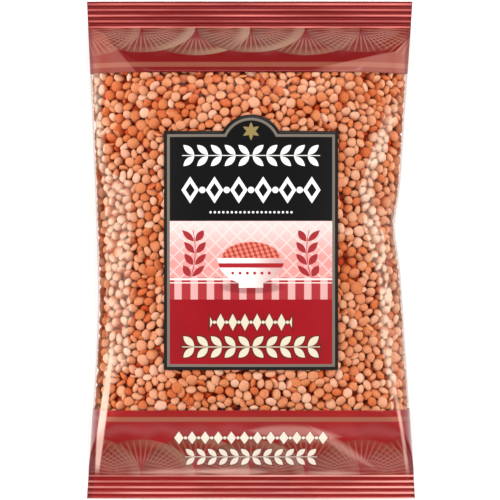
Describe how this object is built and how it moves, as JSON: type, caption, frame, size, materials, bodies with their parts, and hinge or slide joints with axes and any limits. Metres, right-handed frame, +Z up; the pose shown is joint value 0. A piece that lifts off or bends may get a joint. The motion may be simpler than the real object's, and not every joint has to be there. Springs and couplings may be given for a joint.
{
  "type": "bag of lentils",
  "caption": "Sealed clear pillow bag of red lentils lying on its back, with ribbed end seals and printed red bands and label.",
  "frame": {"origin": "on the table, under the middle of the bag's length and width", "axes": "+Y along the bag towards its top end seal, +Z up out of the printed front face, +X to the right seen from above"},
  "size_m": [0.165, 0.25, 0.0456],
  "materials": {
    "lentils": "matte",
    "film": "clear gloss",
    "print": "gloss"
  },
  "bodies": {
    "root": {"bag": "lentils"}
  },
  "joints": []
}
